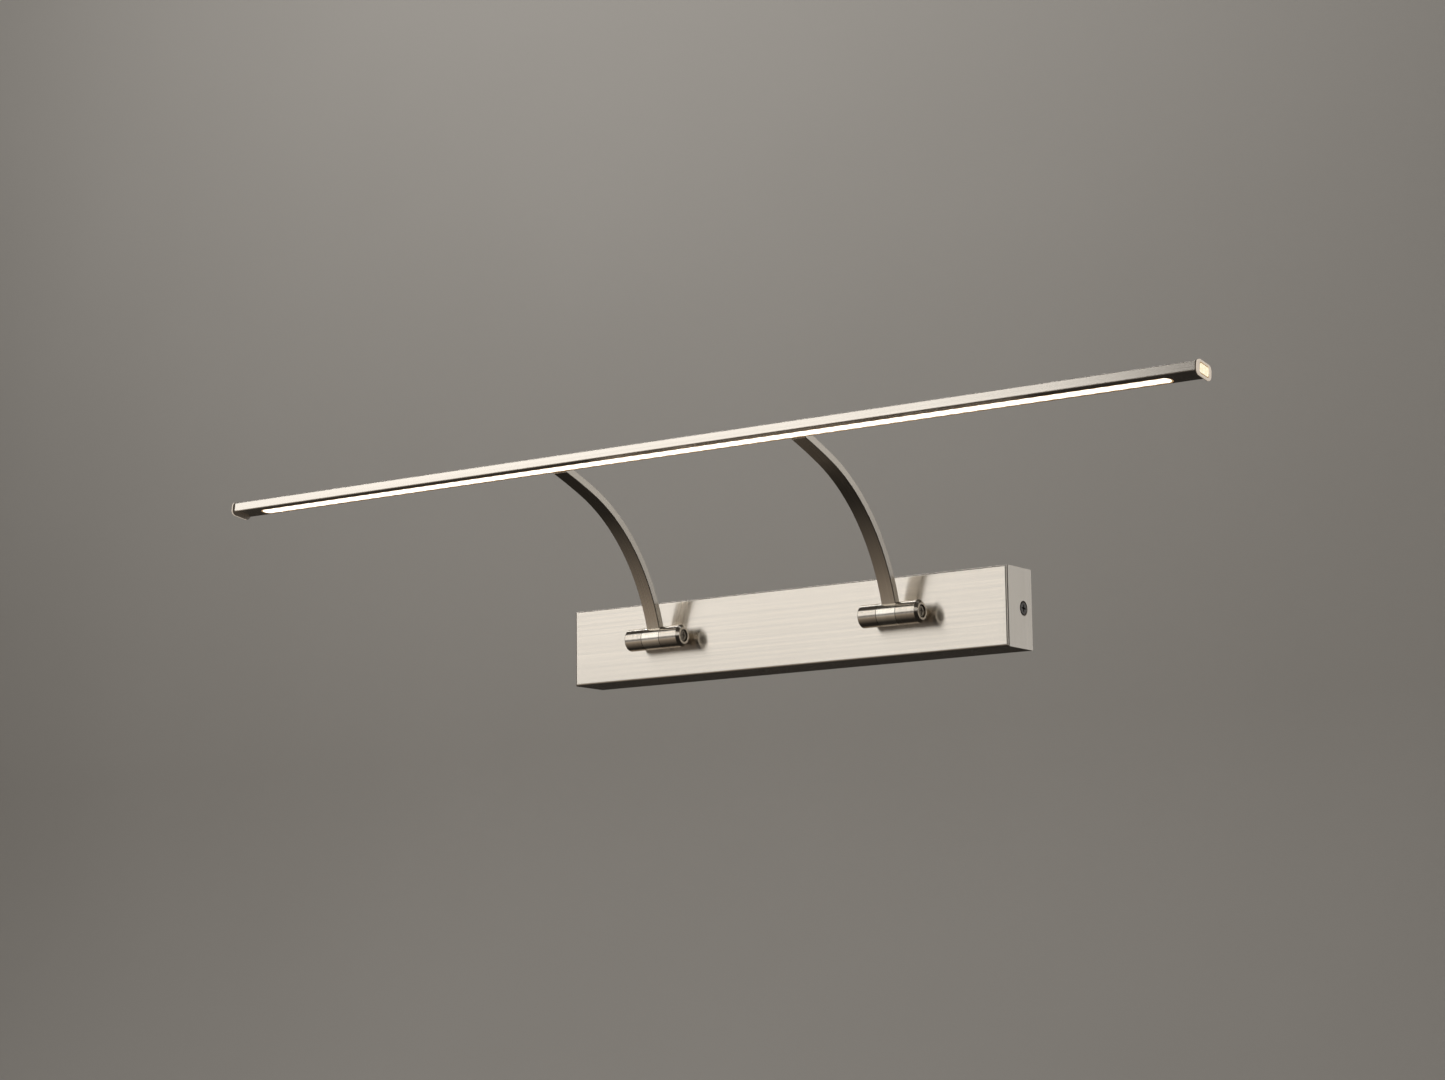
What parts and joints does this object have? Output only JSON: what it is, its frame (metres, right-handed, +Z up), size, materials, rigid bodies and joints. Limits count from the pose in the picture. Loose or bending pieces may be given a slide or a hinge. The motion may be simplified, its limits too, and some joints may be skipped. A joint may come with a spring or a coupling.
{
  "type": "picture light",
  "caption": "Wall-mounted LED picture light: a slim straight light bar on curved flat arms that tilt on knuckles in front of a long shallow box cover.",
  "frame": {"origin": "centre of the wall bracket's back face, on the wall's plane, behind the middle of the cover", "axes": "+Y into the wall, +Z up, +X along the light bar, towards the right as seen from the room"},
  "size_m": [0.6, 0.1318, 0.1072],
  "materials": {
    "cover_nickel": "satin nickel, brushed along the cover's length",
    "bar_nickel": "satin nickel plating, finely brushed along the bar",
    "arm_nickel": "satin nickel, brushed along the arm",
    "knuckle_nickel": "satin nickel, turned and lightly polished",
    "zinc_steel": "zinc plated",
    "black_screw": "black oxide, slightly glossy",
    "grommet_rubber": "matt rubber",
    "driver_plastic": "fine moulded texture",
    "board_green": "solder-masked glass-fibre board",
    "transformer_tape": "yellow insulating tape",
    "capacitor_sleeve": "shrunk-on plastic sleeve",
    "terminal_plastic": "plain nylon",
    "brass_parts": "machined brass",
    "brown_sleeve": "wire insulation",
    "blue_sleeve": "wire insulation",
    "green_sleeve": "wire insulation, earth colour",
    "white_sleeve": "wire insulation",
    "washer_nylon": "dark nylon friction disc",
    "cap_plastic": "frosted clear plastic that carries some of the lamp's light",
    "board_white": "white solder mask on aluminium",
    "led_phosphor": "silicone over phosphor",
    "diffuser_opal": "opal, lit from behind"
  },
  "bodies": {
    "wall_box": {"wall_cover": "cover_nickel", "wall_bracket": "zinc_steel", "side_screws": "black_screw", "cable_grommet": "grommet_rubber", "driver_case": "driver_plastic", "driver_lid": "driver_plastic", "driver_board": "board_green", "driver_transformer": "transformer_tape", "driver_capacitor": "capacitor_sleeve", "driver_screws": "zinc_steel", "terminal_block": "terminal_plastic", "terminal_tubes": "brass_parts", "terminal_screws": "zinc_steel", "terminal_block_screw": "zinc_steel", "earth_screw": "zinc_steel", "earth_washer": "zinc_steel", "earth_ring_terminal": "zinc_steel", "live_lead": "brown_sleeve", "neutral_lead": "blue_sleeve", "earth_lead": "green_sleeve", "output_lead_left": "white_sleeve", "output_lead_right": "white_sleeve", "knuckle_base_left": "knuckle_nickel", "knuckle_base_right": "knuckle_nickel", "knuckle_studs": "zinc_steel", "stud_nuts": "zinc_steel", "lock_washers": "zinc_steel", "friction_washers": "washer_nylon", "pivot_screws": "black_screw"},
    "lamp_head": {"arm_left": "arm_nickel", "arm_right": "arm_nickel", "arm_barrel_left": "knuckle_nickel", "arm_barrel_right": "knuckle_nickel", "arm_lead_left": "white_sleeve", "arm_lead_right": "white_sleeve", "bar_channel": "bar_nickel", "end_cap_left": "cap_plastic", "end_cap_right": "cap_plastic", "led_board": "board_white", "led_chips": "led_phosphor", "diffuser": "diffuser_opal", "arm_screws": "zinc_steel"}
  },
  "joints": [
    {"name": "head_tilt", "type": "hinge", "parent": "wall_box", "child": "lamp_head", "pos_m": [0, -0.0336, 0], "axis": [1, 0, 0], "range_deg": [-35, 45]}
  ]
}
